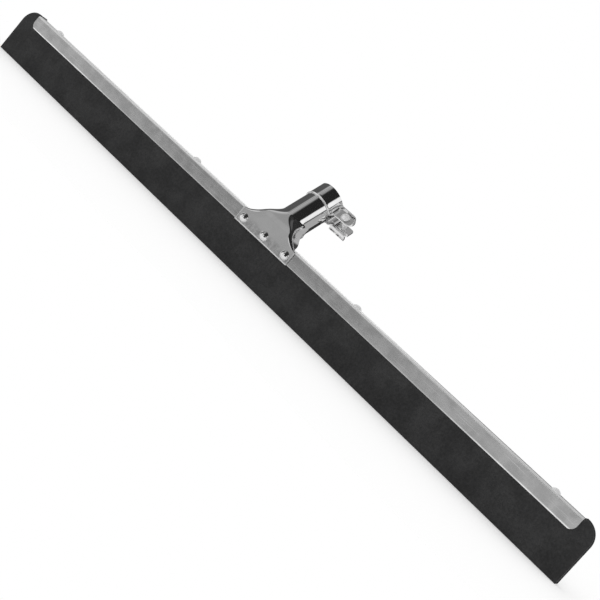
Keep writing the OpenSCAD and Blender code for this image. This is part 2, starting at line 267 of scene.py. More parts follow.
def make_handling_marks():
    """Short fine scratches in two directions and dull finger smudges."""
    tree, inside, outside = new_effect("handling_marks", [("Scale", 140.0)], ["Scratch", "Smudge"])
    coords = add(tree, "ShaderNodeTexCoord")
    scratches = []
    for turn in (0.5, -0.9):
        lay = add(tree, "ShaderNodeMapping")
        lay.inputs["Rotation"].default_value = (0.4, turn, turn)
        lay.inputs["Scale"].default_value = (0.12, 1.0, 6.0)
        link(tree, coords, "Object", lay, "Vector")
        lines = add(tree, "ShaderNodeTexNoise")
        lines.inputs["Detail"].default_value = 2.0
        link(tree, lay, "Vector", lines, "Vector")
        link(tree, inside, "Scale", lines, "Scale")
        scratches.append(spread(tree, (lines, "Fac"), 0.66, 0.72))
    both = maths(tree, "MAXIMUM", (scratches[0], "Result"), (scratches[1], "Result"))
    link(tree, both, "Value", outside, "Scratch")
    smears = add(tree, "ShaderNodeTexNoise")
    smears.inputs["Scale"].default_value = 55.0
    smears.inputs["Detail"].default_value = 4.0
    smears.inputs["Distortion"].default_value = 0.8
    link(tree, coords, "Object", smears, "Vector")
    dull = spread(tree, (smears, "Fac"), 0.42, 0.68)
    link(tree, dull, "Result", outside, "Smudge")
    return tree


def make_place_mask(name, axis, at_near, at_far):
    """A mask that changes between two distances from the middle of the blade or from the floor."""
    tree, inside, outside = new_effect(name, [("Near", 0.0), ("Far", 1.0)], ["Mask"])
    coords = add(tree, "ShaderNodeTexCoord")
    split = add(tree, "ShaderNodeSeparateXYZ")
    link(tree, coords, "Object", split, "Vector")
    away = maths(tree, "ABSOLUTE", (split, axis))
    mask = spread(tree, (away, "Value"), 0.0, 1.0, at_near, at_far)
    link(tree, inside, "Near", mask, "From Min")
    link(tree, inside, "Far", mask, "From Max")
    link(tree, mask, "Result", outside, "Mask")
    return tree


SHEET_GRAIN = make_sheet_grain()
MOTTLE = make_mottle()
HANDLING_MARKS = make_handling_marks()
LOW_MASK = make_place_mask("low_mask", "Z", 1.0, 0.0)
SIDE_MASK = make_place_mask("side_mask", "X", 0.0, 1.0)


# Finishes

def set_bump(tree, shader, height, strength, depth):
    """Raises the surface by a (node, output) height."""
    bump = add(tree, "ShaderNodeBump")
    bump.inputs["Strength"].default_value = strength
    bump.inputs["Distance"].default_value = depth
    tree.links.new(height[0].outputs[height[1]], bump.inputs["Height"])
    link(tree, bump, "Normal", shader, "Normal")


def make_zinc_sheet():
    """Satin zinc-plated strip: rolled grain, cloudy plating and light scratches, with painted highlights along its
    lower hem and on its top fold.
    """
    material, tree, shader = new_material("zinc_sheet")
    clouds = place_effect(tree, MOTTLE, Scale=95.0, Contrast=0.3)
    lines = place_effect(tree, SHEET_GRAIN, Fineness=1500.0, Length=22.0)
    marks = place_effect(tree, HANDLING_MARKS, Scale=170.0)
    plated = mix_colours(tree, (clouds, "Patch"), grey(0.355), grey(0.425))
    scored = mix_colours(tree, (marks, "Scratch"), (plated, 2), grey(0.50))
    # Painted highlight along the strip's lower hem, patchy and brighter towards the strip's ends.
    hem = place_effect(tree, LOW_MASK, Near=frame_low.z + 0.9 * MM, Far=frame_low.z + 1.7 * MM)
    worn = spread(tree, (clouds, "Patch"), 0.0, 1.0, 0.7, 1.0)
    edge_highlight_mask = maths(tree, "MULTIPLY", (hem, "Mask"), (worn, "Result"))
    ends = place_effect(tree, SIDE_MASK, Near=0.55 * frame_high.x, Far=0.8 * frame_high.x)
    hem_highlight_tone = mix_colours(tree, (ends, "Mask"), grey(0.50), grey(0.90))
    with_edge_highlight = mix_colours(tree, (edge_highlight_mask, "Value"), (scored, 2), (hem_highlight_tone, 2))
    # Painted pale highlight, with less metal, on the fold at the top of the strip.
    under = place_effect(tree, LOW_MASK, Near=frame_high.z - 2.5 * MM, Far=frame_high.z - 1.3 * MM)
    fold = maths(tree, "SUBTRACT", 1.0, (under, "Mask"))
    with_top_highlight = mix_colours(tree, (fold, "Value"), (with_edge_highlight, 2), grey(0.9))
    tree.links.new(with_top_highlight.outputs[2], shader.inputs["Base Color"])
    shiny = spread(tree, (fold, "Value"), 0.0, 1.0, 1.0, 0.35, smooth=False)
    link(tree, shiny, "Result", shader, "Metallic")
    satin = spread(tree, (lines, "Grain"), 0.0, 1.0, 0.2, 0.25, smooth=False)
    dulled = maths(tree, "MULTIPLY_ADD", (marks, "Smudge"), 0.06)
    tree.links.new(satin.outputs["Result"], dulled.inputs[2])
    link(tree, dulled, "Value", shader, "Roughness")
    set_bump(tree, shader, (lines, "Grain"), 0.06, 0.05 * MM)
    return material


def plate_edges(tree):
    """A mask of painted highlight on the plate's cut edges, brightest along the bottom."""
    bottom = place_effect(tree, LOW_MASK, Near=socket_low.z + 0.7 * MM, Far=socket_low.z + 1.4 * MM)
    plate = place_effect(tree, LOW_MASK, Near=frame_high.z - 1.5 * MM, Far=frame_high.z - 0.5 * MM)
    side = place_effect(tree, SIDE_MASK, Near=plate_half - 1.3 * MM, Far=plate_half - 0.7 * MM)
    sides = maths(tree, "MULTIPLY", (side, "Mask"), (plate, "Mask"))
    fainter = maths(tree, "MULTIPLY", (sides, "Value"), 0.4)
    return maths(tree, "MAXIMUM", (bottom, "Mask"), (fainter, "Value"))


def make_chrome_sheet():
    """Bright plated pressing with faint ripples, smudges and hairline scratches, darker mottled patches near its
    foot and a painted highlight along its cut edges.
    """
    material, tree, shader = new_material("chrome_sheet")
    ripples = place_effect(tree, MOTTLE, Scale=85.0, Contrast=0.6)
    marks = place_effect(tree, HANDLING_MARKS, Scale=120.0)
    plated = mix_colours(tree, (marks, "Smudge"), grey(0.80), grey(0.74))
    # Darker mottled patches on the plate, fading out upwards from its foot.
    foot_patches = place_effect(tree, MOTTLE, Scale=230.0, Contrast=0.35)
    foot = place_effect(tree, LOW_MASK, Near=socket_low.z + 5.0 * MM, Far=socket_low.z + 12.0 * MM)
    worn = maths(tree, "MULTIPLY", (foot, "Mask"), (foot_patches, "Patch"))
    with_darker_foot = mix_colours(tree, (worn, "Value"), (plated, 2), grey(0.50))
    # Painted highlight along the plate's cut edges, with less metal there.
    edge_highlight_mask = plate_edges(tree)
    with_edge_highlight = mix_colours(tree, (edge_highlight_mask, "Value"), (with_darker_foot, 2), grey(0.95))
    tree.links.new(with_edge_highlight.outputs[2], shader.inputs["Base Color"])
    shiny = spread(tree, (edge_highlight_mask, "Value"), 0.0, 1.0, 1.0, 0.35, smooth=False)
    link(tree, shiny, "Result", shader, "Metallic")
    smeared = spread(tree, (marks, "Smudge"), 0.0, 1.0, 0.05, 0.09, smooth=False)
    scored = maths(tree, "MULTIPLY_ADD", (marks, "Scratch"), 0.05)
    tree.links.new(smeared.outputs["Result"], scored.inputs[2])
    link(tree, scored, "Value", shader, "Roughness")
    set_bump(tree, shader, (ripples, "Patch"), 0.08, 0.06 * MM)
    return material


def make_bright_fasteners():
    """Plated rivets and nut with a soft shine and a little dullness."""
    material, tree, shader = new_material("bright_fasteners")
    shader.inputs["Metallic"].default_value = 1.0
    clouds = place_effect(tree, MOTTLE, Scale=420.0, Contrast=0.4)
    marks = place_effect(tree, HANDLING_MARKS, Scale=420.0)
    plated = mix_colours(tree, (clouds, "Patch"), grey(0.74), grey(0.84))
    tree.links.new(plated.outputs[2], shader.inputs["Base Color"])
    shine = spread(tree, (clouds, "Patch"), 0.0, 1.0, 0.13, 0.2, smooth=False)
    scored = maths(tree, "MULTIPLY_ADD", (marks, "Scratch"), 0.08)
    tree.links.new(shine.outputs["Result"], scored.inputs[2])
    link(tree, scored, "Value", shader, "Roughness")
    set_bump(tree, shader, (clouds, "Patch"), 0.05, 0.04 * MM)
    return material


def make_white_zinc():
    """Pale matt zinc on the bolt and the channel's top rivets, a little uneven."""
    material, tree, shader = new_material("white_zinc")
    shader.inputs["Metallic"].default_value = 0.2
    clouds = place_effect(tree, MOTTLE, Scale=500.0, Contrast=0.4)
    marks = place_effect(tree, HANDLING_MARKS, Scale=420.0)
    plated = mix_colours(tree, (clouds, "Patch"), grey(0.84), grey(0.94))
    scored = mix_colours(tree, (marks, "Scratch"), (plated, 2), grey(0.70))
    tree.links.new(scored.outputs[2], shader.inputs["Base Color"])
    shine = spread(tree, (clouds, "Patch"), 0.0, 1.0, 0.32, 0.42, smooth=False)
    link(tree, shine, "Result", shader, "Roughness")
    set_bump(tree, shader, (clouds, "Patch"), 0.05, 0.04 * MM)
    return material


def make_pale_roll_highlight():
    """A pale satin copy of the strap's plating for its rolled lower edge, a painted highlight line all round."""
    material, tree, shader = new_material("pale_roll_highlight")
    shader.inputs["Metallic"].default_value = 0.45
    clouds = place_effect(tree, MOTTLE, Scale=300.0, Contrast=0.4)
    plated = mix_colours(tree, (clouds, "Patch"), grey(0.72), grey(0.86))
    tree.links.new(plated.outputs[2], shader.inputs["Base Color"])
    shine = spread(tree, (clouds, "Patch"), 0.0, 1.0, 0.3, 0.42, smooth=False)
    link(tree, shine, "Result", shader, "Roughness")
    set_bump(tree, shader, (clouds, "Patch"), 0.06, 0.04 * MM)
    return material


def make_plain_steel():
    """Dull rolled bar with a thin uneven skin of oxide."""
    material, tree, shader = new_material("plain_steel")
    shader.inputs["Metallic"].default_value = 1.0
    clouds = place_effect(tree, MOTTLE, Scale=140.0, Contrast=0.35)
    lines = place_effect(tree, SHEET_GRAIN, Fineness=1100.0, Length=12.0)
    skin = mix_colours(tree, (clouds, "Patch"), grey(0.30), grey(0.44))
    tree.links.new(skin.outputs[2], shader.inputs["Base Color"])
    dull = spread(tree, (lines, "Grain"), 0.0, 1.0, 0.4, 0.55, smooth=False)
    link(tree, dull, "Result", shader, "Roughness")
    set_bump(tree, shader, (lines, "Grain"), 0.2, 0.05 * MM)
    return material


def make_foam_rubber():
    """Matt black cellular rubber: fine open pores under a faint grey bloom."""
    material, tree, shader = new_material("foam_rubber")
    shader.inputs["Specular IOR Level"].default_value = 0.3
    bloom = place_effect(tree, MOTTLE, Scale=38.0, Contrast=0.3)
    speckle = place_effect(tree, MOTTLE, Scale=420.0, Contrast=0.45)
    tone = maths(tree, "MULTIPLY_ADD", (bloom, "Patch"), 0.6)
    grainy = maths(tree, "MULTIPLY", (speckle, "Patch"), 0.4)
    tree.links.new(grainy.outputs["Value"], tone.inputs[2])
    skin = mix_colours(tree, (tone, "Value"), (0.017, 0.017, 0.0175), (0.052, 0.052, 0.0525))
    coords = add(tree, "ShaderNodeTexCoord")
    cells = add(tree, "ShaderNodeTexVoronoi")
    cells.inputs["Scale"].default_value = 1400.0
    link(tree, coords, "Object", cells, "Vector")
    pores = spread(tree, (cells, "Distance"), 0.12, 0.42)
    # The pores are painted darker than the skin, as painted shade inside them.
    pitted = mix_colours(tree, (pores, "Result"), (0.012, 0.012, 0.012), (skin, 2))
    tree.links.new(pitted.outputs[2], shader.inputs["Base Color"])
    rough = spread(tree, (bloom, "Patch"), 0.0, 1.0, 0.72, 0.88, smooth=False)
    link(tree, rough, "Result", shader, "Roughness")
    set_bump(tree, shader, (pores, "Result"), 0.35, 0.12 * MM)
    return material


zinc_sheet = make_zinc_sheet()
chrome_sheet = make_chrome_sheet()
bright_fasteners = make_bright_fasteners()
white_zinc = make_white_zinc()
pale_roll_highlight = make_pale_roll_highlight()
plain_steel = make_plain_steel()
foam_rubber = make_foam_rubber()
FINISHES = {
    "zinc_sheet": zinc_sheet,
    "chrome_sheet": chrome_sheet,
    "bright_fasteners": bright_fasteners,
    "plain_steel": plain_steel,
    "foam_rubber": foam_rubber,
}


# Mesh helpers

def grid_faces(rows, columns, start=0, round_columns=False):
    """Quads of a grid of points stored row by row."""
    faces = []
    last = columns if round_columns else columns - 1
    for row in range(rows - 1):
        for column in range(last):
            after = (column + 1) % columns
            low, high = start + row * columns, start + (row + 1) * columns
            faces.append((low + column, low + after, high + after, high + column))
    return faces


def new_piece(name, points, faces, finish, body, stands_for, weld=0.02 * MM):
    """A piece from points and faces, welded, facing outwards and riding on its body."""
    mesh = bpy.data.meshes.new(name)
    shell = bmesh.new()
    corners = [shell.verts.new(point) for point in points]
    for face in faces:
        if len(set(face)) == len(face):
            try:
                shell.faces.new([corners[index] for index in face])
            except ValueError:
                continue
    bmesh.ops.remove_doubles(shell, verts=shell.verts, dist=weld)
    bmesh.ops.dissolve_degenerate(shell, edges=shell.edges, dist=weld / 2)
    bmesh.ops.recalc_face_normals(shell, faces=shell.faces)
    for face in shell.faces:
        face.smooth = True
    shell.to_mesh(mesh)
    shell.free()
    mesh.materials.append(FINISHES[finish])
    piece = bpy.data.objects.new(name, mesh)
    bpy.context.scene.collection.objects.link(piece)
    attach(piece, body)
    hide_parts(stands_for)
    return piece


def soften_edges(piece, width, segments=2, angle=35.0):
    """Rounds a piece's sharp edges."""
    bevel = piece.modifiers.new("soft_edges", "BEVEL")
    bevel.width = width
    bevel.segments = segments
    bevel.limit_method = "ANGLE"
    bevel.angle_limit = math.radians(angle)
    bevel.harden_normals = True


def ease(low, high, value):
    """A smooth step from 0 at low to 1 at high."""
    part = min(1.0, max(0.0, (value - low) / (high - low)))
    return part * part * (3.0 - 2.0 * part)


def even_points(path, count):
    """Points spaced evenly along a path."""
    steps = [0.0]
    for near, far in zip(path, path[1:]):
        steps.append(steps[-1] + (far - near).length)
    result, leg = [], 0
    for index in range(count):
        want = steps[-1] * index / (count - 1)
        while leg < len(path) - 2 and steps[leg + 1] < want:
            leg += 1
        run = steps[leg + 1] - steps[leg]
        part = (want - steps[leg]) / run if run > 1e-12 else 0.0
        result.append(path[leg].lerp(path[leg + 1], min(1.0, max(0.0, part))))
    return result


# Handle socket

NECK_ROWS = 96
SIDE_POINTS = 56
FACE_POINTS = 13
ROLL_STEPS = 24
CURL_STEPS = 8
TUBE_STRAIGHT = 32.0 * MM
EVEN_ROUNDS = 60

# Where along the turn from the plate's corner, 0, to the tube, 1, each change of the neck starts and ends.
TUBE_BLENDS = (0.62, 1.0)
ROLL_GROWS = (-0.1, 0.4)
WALL_GROWS = (0.02, 0.36)
CURL_FADES = (0.1, 0.58)
CORNER_ENDS = 0.55
EVEN_FADES = (0.85, 1.0)


def neck_front(z):
    """Where the front of the neck lies at a height, with the bend rounded."""
    lead = BEND_R * math.tan(LEAN / 2)
    rise = z - bend.z
    if rise <= -lead:
        return plate_face
    if rise >= lead * math.cos(LEAN):
        return plate_face + rise * math.tan(LEAN)
    return plate_face + BEND_R - math.sqrt(BEND_R ** 2 - (rise + lead) ** 2)


def neck_back(z):
    """Where the neck's side walls end, on the plane through the tube's axis."""
    return plate_face + (TUBE_R + (z - bend.z) * math.sin(LEAN)) / math.cos(LEAN)


def side_line(turn):
    """One line round the neck's right side, from the flat face round the roll to the back edge.

    The line lies in a plane that turns about the centre of the neck's concave outline, from the
    plate's corner at 0 to the tube at 1."""
    angle = turn * math.pi / 2
    late = 0.05 * turn + 0.95 * ease(*TUBE_BLENDS, turn) ** 1.5
    edge = SOCKET_SHEET + (ROLL_R - SOCKET_SHEET) * ease(*ROLL_GROWS, turn)
    roll = edge + (TUBE_R - edge) * late
    low = flare_z - CORNER_DROP * max(0.0, 1.0 - turn / CORNER_ENDS) ** 2
    deep = roll * (1.0 + (1.0 / math.cos(LEAN) - 1.0) * late)
    places = []
    for step in range(ROLL_STEPS + 1):
        phi = step / ROLL_STEPS * math.pi / 2
        out = flare_r + roll * (1.0 - math.sin(phi))
        z = low - out * math.cos(angle)
        places.append((out, neck_front(z) + deep * (1.0 - math.cos(phi))))
    z = low - flare_r * math.cos(angle)
    full = plate_face + (neck_back(z) - plate_face) * ease(*WALL_GROWS, turn)
    back = max(full, places[-1][1])
    curl = math.radians(CURL_TURN) * (1.0 - ease(*CURL_FADES, turn))
    room = max(0.0, z - frame_high.z - 0.1 * MM) / (1.0 - math.cos(math.radians(CURL_TURN)))
    curl_r = min(CURL_R, room, max(0.0, back - places[-1][1]) / 2)
    places.append((flare_r, back - curl_r * math.sin(curl)))
    for step in range(1, CURL_STEPS + 1):
        psi = curl * step / CURL_STEPS
        out = flare_r + curl_r * (1.0 - math.cos(psi))
        places.append((out, back - curl_r * (math.sin(curl) - math.sin(psi))))
    line = [Vector((plate_half - out * math.sin(angle), y, low - out * math.cos(angle)))
            for out, y in places]
    if curl < 1e-6:
        line = line[:ROLL_STEPS + 2]
    return even_points(line, SIDE_POINTS)


def evened(sides, turns):
    """The side lines with the waves from one to the next evened out; the plate and tube ends stay."""
    for _ in range(EVEN_ROUNDS):
        moved = [sides[0]]
        for row in range(1, len(sides) - 1):
            share = 0.5 * (1.0 - ease(*EVEN_FADES, turns[row]))
            near = zip(sides[row - 1], sides[row], sides[row + 1])
            moved.append([point + share * ((before + after) / 2 - point) for before, point, after in near])
        sides = moved + [sides[-1]]
    return sides


def mirrored(points):
    return [Vector((-point.x, point.y, point.z)) for point in points]


def front_row(side):
    """A row of the pressing's front from its left back edge to its right one."""
    face = [Vector((side[0].x * (2.0 * i / (FACE_POINTS - 1) - 1.0), side[0].y, side[0].z))
            for i in range(FACE_POINTS)]
    return mirrored(side)[::-1] + face[1:-1] + side


def tube_row(angles, foot, share):
    """A row round the tube's front, moved up from its foot to where the rows are square to it."""
    row = []
    for angle, low in zip(angles, foot):
        along = low + (TUBE_STRAIGHT - low) * share
        row.append(on_tube(TUBE_R * math.sin(angle), TUBE_R * (1 - math.cos(angle)), along))
    return row


def rear_foot(away):
    """How far up the rear half starts at a distance round from the side walls."""
    if away >= REAR_FILLET:
        return REAR_RIM
    return REAR_RIM - REAR_FILLET + math.sqrt(REAR_FILLET ** 2 - (REAR_FILLET - away) ** 2)


def make_socket_pressing():
    """The plate, neck and tube as one pressing, open behind the neck and slit at the mouth."""
    foot_turn = math.acos((flare_z - (bend.z - TUBE_R * math.sin(LEAN)
                           + (REAR_RIM - REAR_FILLET) * math.cos(LEAN))) / flare_r) / (math.pi / 2)
    turns = [i / NECK_ROWS for i in range(NECK_ROWS + 1)]
    turns[min(range(len(turns)), key=lambda i: abs(turns[i] - foot_turn))] = foot_turn
    sides = evened([side_line(turn) for turn in turns], turns)
    for side, turn in zip(sides, turns):
        if turn >= foot_turn - 1e-9:
            side[-1] = on_tube(side[-1].x, TUBE_R, tube_place(side[-1])[1])
    rows = []
    plate_top = sides[0][0].z
    for step in range(7):
        z = socket_low.z + (plate_top - socket_low.z) * step / 7
        rows.append([Vector((plate_half * (2.0 * i / (FACE_POINTS - 1) - 1.0), plate_face, z))
                     for i in range(FACE_POINTS)])
    points = [point for row in rows for point in row]
    faces = grid_faces(len(rows), FACE_POINTS)
    joined = len(points)
    points += front_row(sides[0])[SIDE_POINTS - 1:SIDE_POINTS + FACE_POINTS - 1]
    low = joined - FACE_POINTS
    for column in range(FACE_POINTS - 1):
        faces.append((low + column, low + column + 1, joined + column + 1, joined + column))

    wide = 2 * SIDE_POINTS + FACE_POINTS - 2
    start = len(points)
    for side in sides:
        points += front_row(side)
    faces += grid_faces(len(sides), wide, start)

    top = front_row(sides[-1])
    places = [tube_place(point) for point in top]
    angles = [math.copysign(math.acos(max(-1.0, min(1.0, 1 - back / TUBE_R))), point.x)
              for point, (back, along) in zip(top, places)]
    foot = [along for back, along in places]
    start = len(points)
    shares = [i / 8 for i in range(9)]
    edge_alongs = [foot[0] + (TUBE_STRAIGHT - foot[0]) * share for share in shares]
    for share in shares:
        points += tube_row(angles, foot, share)
    straights = [TUBE_STRAIGHT, TUBE_REACH - SLIT_LENGTH, TUBE_REACH - 16 * MM, TUBE_REACH]
    for along in straights[1:]:
        points += [on_tube(TUBE_R * math.sin(a), TUBE_R * (1 - math.cos(a)), along) for a in angles]
    faces += grid_faces(len(shares) + len(straights) - 1, wide, start)

    edges = [side[-1] for side, turn in zip(sides, turns) if turn >= foot_turn - 1e-9]
    edge_places = [(point.x, tube_place(point)[1]) for point in edges[:-1]]
    edge_places += [(TUBE_R, along) for along in edge_alongs + straights[1:]]
    slit = [math.pi / 2 + math.asin(reach / TUBE_R) for reach in (SLIT_NEAR, SLIT_FAR)]
    around = [math.pi / 2, math.radians(91.8), slit[0]]
    around += [slit[0] + (slit[1] - slit[0]) * i / 4 for i in (1, 2, 3)] + [slit[1]]
    around += [slit[1] + (1.5 * math.pi - slit[1]) * i / 40 for i in range(1, 41)]
    start = len(points)
    rim = edge_places[0][1]
    for half_width, along in edge_places:
        for angle in around:
            away = TUBE_R * min(angle - math.pi / 2, 1.5 * math.pi - angle)
            left = max(0.0, (TUBE_STRAIGHT - along) / (TUBE_STRAIGHT - rim))
            place = along + (rear_foot(away) - rear_foot(0.0)) * left
            radius = TUBE_R + (half_width - TUBE_R) * max(0.0, 1.0 - away / REAR_FLARE) ** 2
            points.append(on_tube(radius * math.sin(angle), TUBE_R - radius * math.cos(angle), place))
    slit_row = len(edge_places) - 3
    for index, face in enumerate(grid_faces(len(edge_places), len(around), start)):
        row, column = divmod(index, len(around) - 1)
        if row >= slit_row and 2 <= column < 6:
            continue
        faces.append(face)
    piece = new_piece("socket_pressing", points, faces, "chrome_sheet", "head", "socket")
    front = min(piece.data.polygons, key=lambda face: face.center.z)
    if front.normal.y > 0:
        piece.data.flip_normals()
    sheet = piece.modifiers.new("sheet", "SOLIDIFY")
    sheet.thickness = SOCKET_SHEET
    sheet.offset = -1.0
    soften_edges(piece, 0.22 * MM, angle=60.0)


# Clamp strap

def tube_span(node):
    """Lowest and highest corner of a CAD node in the tube's frame: across, back and along."""
    corners = []
    for vertex in nodes[node].data.vertices:
        back, along = tube_place(vertex.co)
        corners.append((vertex.co.x, back, along))
    return [min(c) for c in zip(*corners)], [max(c) for c in zip(*corners)]


def arc(centre, radius, start, end, count):
    """Points along an arc in the plane across the tube, both ends included."""
    angles = [start + (end - start) * i / (count - 1) for i in range(count)]
    return [Vector((centre.x + radius * math.cos(a), centre.y + radius * math.sin(a))) for a in angles]


def strap_line(front_back, rear_back, tip, rear_tip, ring_r):
    """The strap's middle line, from the front lug's tip round the tube to the rear lug's tip.

    Each stop is (name of the stretch, point), with the point across and behind the tube's axis."""
    fold = ring_r + LUG_FOLD_R
    front_fold = Vector((0.0, front_back - LUG_FOLD_R))
    front_fold.x = math.sqrt(fold ** 2 - front_fold.y ** 2)
    rear_fold = Vector((0.0, rear_back + LUG_FOLD_R))
    rear_fold.x = math.sqrt(fold ** 2 - rear_fold.y ** 2)
    half_turn = math.pi / 2
    line = []
    for step in range(22):
        part = step / 21
        line.append(("front", Vector((tip - (tip - front_fold.x) * (part ** 1.4), front_back))))
    bends = arc(front_fold, LUG_FOLD_R, half_turn, math.atan2(-front_fold.y, -front_fold.x), 9)
    line += [("front_fold", point) for point in bends[1:]]
    ring_from = math.atan2(front_fold.y, front_fold.x)
    ring_to = math.atan2(rear_fold.y, rear_fold.x) - 2 * math.pi
    line += [("ring", point) for point in arc(Vector((0, 0)), ring_r, ring_from, ring_to, 91)[1:-1]]
    bends = arc(rear_fold, LUG_FOLD_R, math.atan2(-rear_fold.y, -rear_fold.x), -half_turn, 9)
    line += [("rear_fold", point) for point in bends]
    for step in range(1, 22):
        part = 1 - (1 - step / 21) ** 1.4
        line.append(("rear", Vector((rear_fold.x + (rear_tip - rear_fold.x) * part, rear_back))))
    return line


def sweep_faces(rows, ring, start):
    """Quads between closed rings of points, with both ends closed."""
    faces = grid_faces(rows, ring, start, round_columns=True)
    faces.append(tuple(start + index for index in range(ring)))
    last = start + (rows - 1) * ring
    faces.append(tuple(last + index for index in range(ring)))
    return faces


def add_strap_band(points, faces, sizes):
    """The strap itself: a flat strip with a rolled lower edge, folded out into two lugs."""
    low_edge, high_edge, bolt_along, floor_half, rear_low, rear_high = sizes["alongs"]
    line = strap_line(*sizes["line"])
    tip, rear_tip, ring_r = sizes["line"][2:]
    shares = [0.0, 0.012, 0.026, 0.042, 0.06, 0.08, 0.11, 0.2, 0.35, 0.5, 0.65, 0.8, 0.92, 1.0]
    start = len(points)
    for index, (stretch, place) in enumerate(line):
        before, after = line[max(0, index - 1)][1], line[min(len(line) - 1, index + 1)][1]
        run = (after - before).normalized()
        out = Vector((-run.y, run.x))
        folded = 0.0 if stretch == "ring" else ease(ring_r, ring_r + 4 * MM, place.x)
        half = (STRAP_T + (LUG_T - STRAP_T) * folded) / 2
        if stretch in ("front", "front_fold"):
            low, high = bolt_along - floor_half, bolt_along + floor_half
            past = place.x - (tip - floor_half)
            if past > 0:
                reach = math.sqrt(max(0.0, floor_half ** 2 - past ** 2))
                low, high = bolt_along - reach, bolt_along + reach
        elif stretch in ("rear", "rear_fold"):
            turned = 1.0 - ease(rear_tip - GUIDE_END - GUIDE_FOLD_R, rear_tip - GUIDE_END, place.x)
            low, high = rear_low + GUIDE_LIFT * turned, rear_high
            past = place.x - (rear_tip - REAR_CORNER_R)
            if past > 0:
                trim = REAR_CORNER_R - math.sqrt(max(0.0, REAR_CORNER_R ** 2 - past ** 2))
                low, high = low + trim, high - trim
        else:
            low, high = low_edge, high_edge
        low = low_edge + (low - low_edge) * folded
        high = high_edge + (high - high_edge) * folded
        for side in (1, -1):
            for share in (shares if side > 0 else reversed(shares)):
                along = low + (high - low) * share
                bead = 0.0
                if stretch == "ring" and side > 0:
                    bead = BEAD_RISE * math.sin(math.pi * min(1.0, (along - low) / BEAD_W)) ** 2
                spot = place + out * (half + bead) * side
                points.append(on_tube(spot.x, TUBE_R + spot.y, along))
    faces += sweep_faces(len(line), 2 * len(shares), start)


def add_front_rim(points, faces, sizes):
    """The rim turned up round the front lug, so that the lug is a shallow pan."""
    tip, ring_r = sizes["line"][2], sizes["line"][4]
    bolt_along, floor_half = sizes["alongs"][2:4]
    face, inner = sizes["front_face"], sizes["front_inner"]
    outer_half = floor_half + RIM_FOLD
    middle = tip + RIM_FOLD - outer_half
    soft, worn, sunk = 0.35 * MM, 0.1 * MM, 0.2 * MM
    stops = []
    root = ring_r - 2.2 * MM
    for step in range(8):
        stops.append((Vector((root + (middle - root) * step / 7, -outer_half)), Vector((0, -1))))
    for step in range(1, 24):
        angle = -math.pi / 2 + math.pi * step / 24
        way = Vector((math.cos(angle), math.sin(angle)))
        stops.append((Vector((middle, 0)) + way * outer_half, way))
    for step in range(8):
        stops.append((Vector((middle + (root - middle) * step / 7, outer_half)), Vector((0, 1))))
    start = len(points)
    for place, way in stops:
        rim = face - LOW_RIM_H - (RIM_H - LOW_RIM_H) * ease(-0.9, 0.6, way.y)
        section = [(RIM_FOLD + sunk, inner)]
        for step in range(7):
            angle = math.pi / 2 * step / 6
            section.append((RIM_FOLD * (1 - math.sin(angle)), inner - RIM_FOLD * (1 - math.cos(angle))))
        section += [(0.0, rim + soft), (worn, rim + worn), (soft, rim), (RIM_T - soft, rim)]
        section += [(RIM_T - worn, rim + worn), (RIM_T, rim + soft), (RIM_T, face - 0.3 * MM)]
        section += [(RIM_T + 0.15 * MM, face + 0.05 * MM), (RIM_FOLD + sunk, face + sunk)]
        for inset, back in section:
            spot = place - way * inset
            points.append(on_tube(spot.x, back, bolt_along + spot.y))
    faces += sweep_faces(len(stops), len(section), start)


def add_nut_guide(points, faces, sizes):
    """The rear lug's lower edge, turned back below the nut and down again at its end."""
    rear_back, rear_tip, ring_r = sizes["line"][1], sizes["line"][3], sizes["line"][4]
    rear_low = sizes["alongs"][4]
    half = LUG_T / 2 - 0.03 * MM
    fold = GUIDE_FOLD_R
    flat = rear_low + LUG_T / 2
    line = [Vector((rear_back, rear_low + GUIDE_LIFT + 1.5 * MM)), Vector((rear_back, flat + fold))]
    line += arc(Vector((rear_back + fold, flat + fold)), fold, math.pi, 1.5 * math.pi, 9)[1:]
    lip_from = Vector((rear_back + GUIDE_DEPTH, flat))
    line += arc(lip_from - Vector((0.0, fold)), fold, math.pi / 2, LIP_TURN, 6)
    line.append(line[-1] + Vector((math.sin(LIP_TURN), -math.cos(LIP_TURN))) * LIP_LENGTH)
    start = len(points)
    near, far = ring_r + 0.6 * MM, rear_tip - GUIDE_END
    for index, place in enumerate(line):
        run = (line[min(len(line) - 1, index + 1)] - line[max(0, index - 1)]).normalized()
        out = Vector((-run.y, run.x)) * half
        for side, x in ((1, near), (1, far), (-1, far), (-1, near)):
            spot = place + out * side
            points.append(on_tube(x, TUBE_R + spot.x, spot.y))
    faces += sweep_faces(len(line), 4, start)


